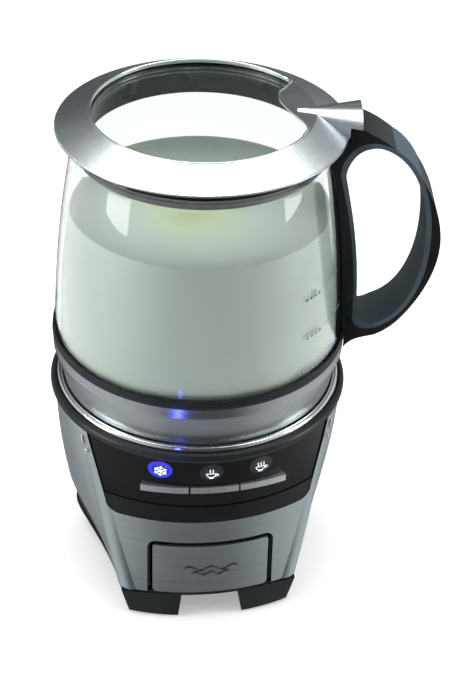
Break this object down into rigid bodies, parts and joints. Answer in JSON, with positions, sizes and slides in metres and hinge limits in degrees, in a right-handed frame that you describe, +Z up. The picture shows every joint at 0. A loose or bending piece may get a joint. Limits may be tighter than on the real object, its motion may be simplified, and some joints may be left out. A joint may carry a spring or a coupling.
{
  "type": "milk frother",
  "caption": "Induction milk frother: round base with a control panel, lift-off glass jug with a looped handle, and a lid with a clear window.",
  "frame": {"origin": "centre of the bottom face of the object's box, at the ground", "axes": "+Z up, -Y towards the control panel, +X towards the side where the handle points"},
  "size_m": [0.1766, 0.1382, 0.2419],
  "materials": {
    "steel": "brushed",
    "steel_plain": "plain",
    "chrome": "polished",
    "zinc": "zinc plated",
    "aluminium": "milled",
    "copper": "lacquered copper wire",
    "black": "satin",
    "gloss_black": "gloss",
    "part_black": "matte",
    "part_white": "matte",
    "grey": "satin",
    "grip": "soft touch",
    "rubber": "matte",
    "seal": "matte silicone",
    "silver": "silver plated",
    "lens": "smoked clear",
    "led": "diffuse",
    "board": "solder mask",
    "ferrite": "sintered",
    "magnet": "nickel plated",
    "glass": "clear",
    "pane": "clear"
  },
  "bodies": {
    "base": {"steel_wrap": "steel", "inner_housing": "black", "bottom_cover": "black", "rubber_pads": "rubber", "base_screws": "zinc", "top_collar": "black", "seat_ring": "chrome", "seat_well": "black", "control_panel": "gloss_black", "panel_trim": "black", "icon_lenses": "lens", "tact_switches": "part_black", "control_board": "board", "indicator_lights": "led", "induction_coil": "copper", "coil_former": "part_white", "ferrite_bars": "ferrite", "temperature_sensor": "steel_plain", "drive_motor": "steel_plain", "motor_mount": "black", "power_board": "board", "heat_sink": "aluminium", "capacitors": "part_black", "cord_gland": "rubber"},
    "jug": {"jug_glass": "glass", "jug_band": "black", "jug_steel_cup": "steel", "jug_gasket": "seal", "stirrer_pin": "steel_plain", "handle_frame": "black", "handle_grip": "grip", "handle_screws": "zinc"},
    "lid": {"lid_steel_cover": "steel", "lid_window": "pane", "lid_carrier_ring": "black", "lid_skirt": "black", "lid_seal": "seal"},
    "disc": {"frothing_disc": "grey", "disc_magnets": "magnet", "whisk_ring": "steel_plain"},
    "rotor": {"motor_shaft": "steel_plain", "magnet_rotor": "grey", "rotor_magnets": "magnet"},
    "drawer": {"drawer_front": "steel", "drawer_tray": "black", "heating_disc": "grey", "cocoa_disc": "grey"},
    "button_cold": {"button_cold": "silver"},
    "button_warm": {"button_warm": "silver"},
    "button_hot": {"button_hot": "silver"}
  },
  "joints": [
    {"name": "jug_lift", "type": "slide", "parent": "base", "child": "jug", "axis": [0, 0, 1], "range_m": [0, 0.08]},
    {"name": "lid_lift", "type": "slide", "parent": "jug", "child": "lid", "axis": [0, 0, 1], "range_m": [0, 0.06]},
    {"name": "rotor_spin", "type": "hinge", "parent": "base", "child": "rotor", "pos_m": [-0.0192, 0, 0.08], "axis": [0, 0, 1], "continuous": true},
    {"name": "disc_spin", "type": "hinge", "parent": "jug", "child": "disc", "pos_m": [-0.0192, 0, 0.099], "axis": [0, 0, 1], "continuous": true},
    {"name": "drawer_slide", "type": "slide", "parent": "base", "child": "drawer", "axis": [0, -1, 0], "range_m": [0, 0.038]},
    {"name": "press_cold", "type": "slide", "parent": "base", "child": "button_cold", "axis": [0.2316, 0.9728, 0], "range_m": [0, 0.001], "stiffness_N_per_m": 800},
    {"name": "press_warm", "type": "slide", "parent": "base", "child": "button_warm", "axis": [0, 1, 0], "range_m": [0, 0.001], "stiffness_N_per_m": 800},
    {"name": "press_hot", "type": "slide", "parent": "base", "child": "button_hot", "axis": [-0.2316, 0.9728, 0], "range_m": [0, 0.001], "stiffness_N_per_m": 800}
  ],
  "couplings": [
    {"joint": "disc_spin", "follows": "rotor_spin", "ratio": 1}
  ]
}
